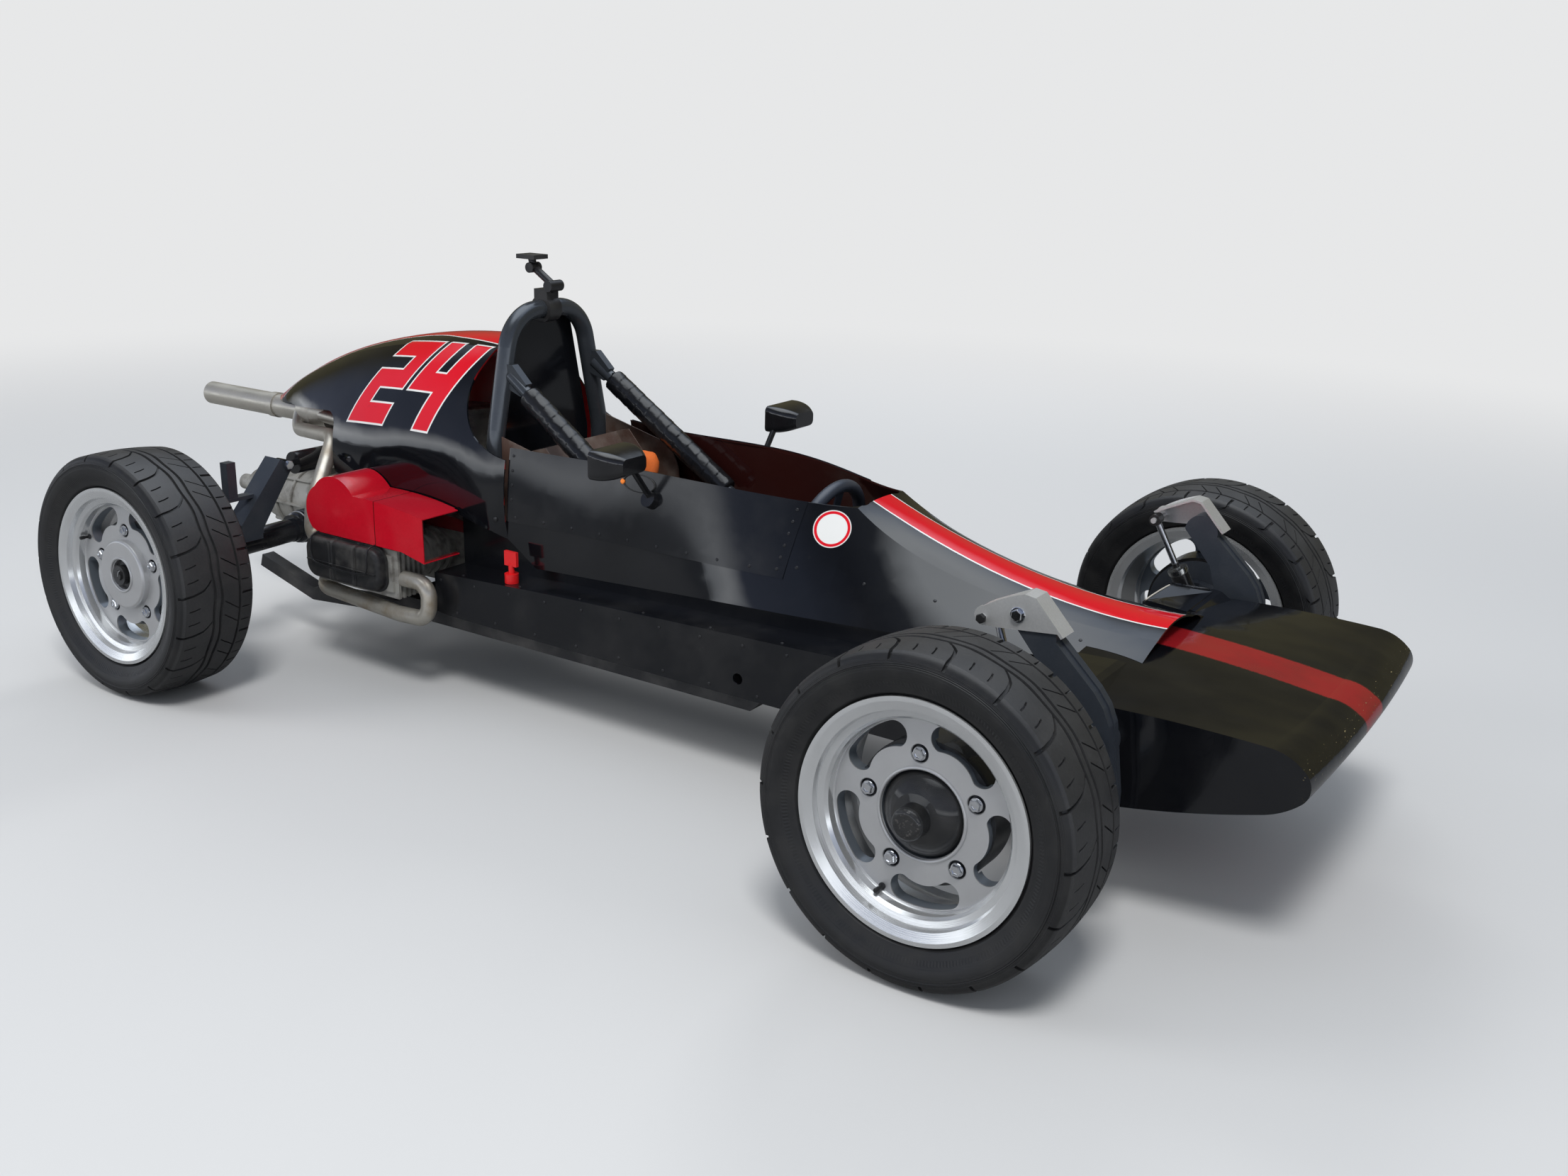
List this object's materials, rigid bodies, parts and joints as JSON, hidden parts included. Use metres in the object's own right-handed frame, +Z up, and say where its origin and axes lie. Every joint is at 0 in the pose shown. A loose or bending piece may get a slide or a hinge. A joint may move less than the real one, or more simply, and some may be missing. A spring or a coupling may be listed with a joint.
{
  "type": "open-wheel circuit racing car",
  "caption": "Single-seat open-wheel circuit racing car with a mid-mounted air-cooled flat engine, torsion-bar front beam, swing axles, steering front wheels and rolling wheels.",
  "frame": {"origin": "centre of the bounding box's footprint, on the ground", "axes": "+X forward along the car, +Y to the driver's left, +Z up"},
  "size_m": [3.2432, 1.5544, 1.0259],
  "materials": {
    "black_gelcoat": "gloss",
    "painted_sheet": "satin",
    "bare_aluminium": "brushed",
    "wheel_alloy": "satin",
    "tyre": "matt",
    "drum_iron": "satin",
    "grey_suspension": "satin",
    "steel": "satin",
    "hoop_paint": "satin",
    "padding": "matt",
    "red_plastic": "gloss",
    "cast_case": "cast",
    "exhaust_steel": "satin",
    "black_plastic": "satin",
    "seat_shell": "satin"
  },
  "bodies": {
    "chassis": {"frame_tub": "painted_sheet", "belly_frame": "bare_aluminium", "nose": "black_gelcoat", "body_shell": "black_gelcoat", "side_panels": "painted_sheet", "engine_cover": "black_gelcoat", "roll_hoop": "hoop_paint", "brace_padding": "padding", "camera_mount": "black_plastic", "firewall": "painted_sheet", "seat": "seat_shell", "dash": "black_plastic", "gear_lever": "black_plastic", "front_beam": "grey_suspension", "shock_towers": "grey_suspension", "tower_brackets": "bare_aluminium", "front_shocks": "black_plastic", "front_arms": "grey_suspension", "steering_column": "steel", "mirrors": "black_plastic", "battery_switch": "red_plastic", "engine_block": "cast_case", "valve_covers": "painted_sheet", "cooling_shrouds": "red_plastic", "exhaust": "exhaust_steel", "transaxle": "cast_case", "axle_tubes": "grey_suspension", "rear_shock": "black_plastic", "rear_arms": "grey_suspension"},
    "knuckle_left": {"knuckle_left": "grey_suspension"},
    "knuckle_right": {"knuckle_right": "grey_suspension"},
    "steering_wheel": {"steering_wheel": "padding"},
    "steering_link": {"steering_link": "steel"},
    "wheel_front_left": {"tyre_front_left": "tyre", "wheel_front_left": "wheel_alloy", "drum_front_left": "drum_iron"},
    "wheel_front_right": {"tyre_front_right": "tyre", "wheel_front_right": "wheel_alloy", "drum_front_right": "drum_iron"},
    "wheel_rear_left": {"tyre_rear_left": "tyre", "wheel_rear_left": "wheel_alloy", "drum_rear_left": "drum_iron"},
    "wheel_rear_right": {"tyre_rear_right": "tyre", "wheel_rear_right": "wheel_alloy", "drum_rear_right": "drum_iron"}
  },
  "joints": [
    {"name": "steer_left", "type": "hinge", "parent": "chassis", "child": "knuckle_left", "pos_m": [1.0935, 0.585, 0.28839], "axis": [0, 0, 1], "range_deg": [-24.2, 24.2]},
    {"name": "steer_right", "type": "hinge", "parent": "chassis", "child": "knuckle_right", "pos_m": [1.0935, -0.585, 0.28839], "axis": [0, 0, 1], "range_deg": [-24.2, 24.2]},
    {"name": "roll_front_left", "type": "hinge", "parent": "knuckle_left", "child": "wheel_front_left", "pos_m": [1.0935, 0.665, 0.28839], "axis": [0, 0.999, 0.0436], "continuous": true},
    {"name": "roll_front_right", "type": "hinge", "parent": "knuckle_right", "child": "wheel_front_right", "pos_m": [1.0935, -0.665, 0.28839], "axis": [0, 0.999, -0.0436], "continuous": true},
    {"name": "roll_rear_left", "type": "hinge", "parent": "chassis", "child": "wheel_rear_left", "pos_m": [-1.0145, 0.665, 0.28839], "axis": [0, 0.999, 0.0436], "continuous": true},
    {"name": "roll_rear_right", "type": "hinge", "parent": "chassis", "child": "wheel_rear_right", "pos_m": [-1.0145, -0.665, 0.28839], "axis": [0, 0.999, -0.0436], "continuous": true},
    {"name": "turn_steering_wheel", "type": "hinge", "parent": "chassis", "child": "steering_wheel", "pos_m": [0.4615, 0, 0.48], "axis": [-0.9703, 0, 0.2419], "range_deg": [-300, 300]},
    {"name": "tie_rod_slide", "type": "slide", "parent": "chassis", "child": "steering_link", "axis": [0, -1, 0], "range_m": [-0.049, 0.049]}
  ],
  "couplings": [
    {"joint": "steer_left", "follows": "turn_steering_wheel", "ratio": 0.08},
    {"joint": "steer_right", "follows": "turn_steering_wheel", "ratio": 0.08},
    {"joint": "tie_rod_slide", "follows": "turn_steering_wheel", "m_per_rad": 0.00932}
  ]
}
